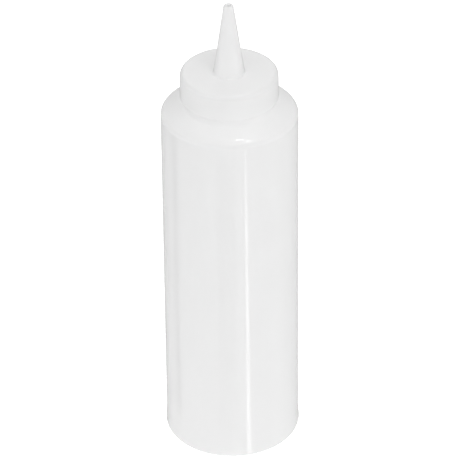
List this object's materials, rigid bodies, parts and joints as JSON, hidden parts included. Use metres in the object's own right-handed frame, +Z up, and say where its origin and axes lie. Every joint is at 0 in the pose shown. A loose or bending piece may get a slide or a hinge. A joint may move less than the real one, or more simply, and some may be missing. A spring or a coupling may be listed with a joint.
{
  "type": "squeeze bottle",
  "caption": "Soft plastic squeeze bottle for sauce, with a straight round body, a shallow shoulder and a screw-on cap that carries an open cone nozzle.",
  "frame": {"origin": "centre of the standing ring, on the surface that the bottle stands on", "axes": "+Z up along the axis of the bottle and the cap, -Y towards the viewer of the picture, X along the weld under the base"},
  "size_m": [0.0566, 0.0566, 0.205],
  "materials": {
    "bottle_plastic": "natural uncoloured soft plastic, translucent, satin",
    "cap_plastic": "natural uncoloured moulded plastic, translucent, satin",
    "seal_foam": "white, matt and slightly soft"
  },
  "bodies": {
    "bottle_body": {"bottle": "bottle_plastic"},
    "seal_body": {"seal_ring": "seal_foam"},
    "cap_body": {"cap": "cap_plastic"}
  },
  "joints": [
    {"name": "cap_lift", "type": "slide", "parent": "bottle_body", "child": "seal_body", "axis": [0, 0, 1], "range_m": [0, 0.0053]},
    {"name": "cap_turn", "type": "hinge", "parent": "seal_body", "child": "cap_body", "pos_m": [0, 0, 0.168], "axis": [0, 0, 1], "range_deg": [0, 450]}
  ],
  "couplings": [
    {"joint": "cap_lift", "follows": "cap_turn", "m_per_rad": 0.00067373}
  ]
}
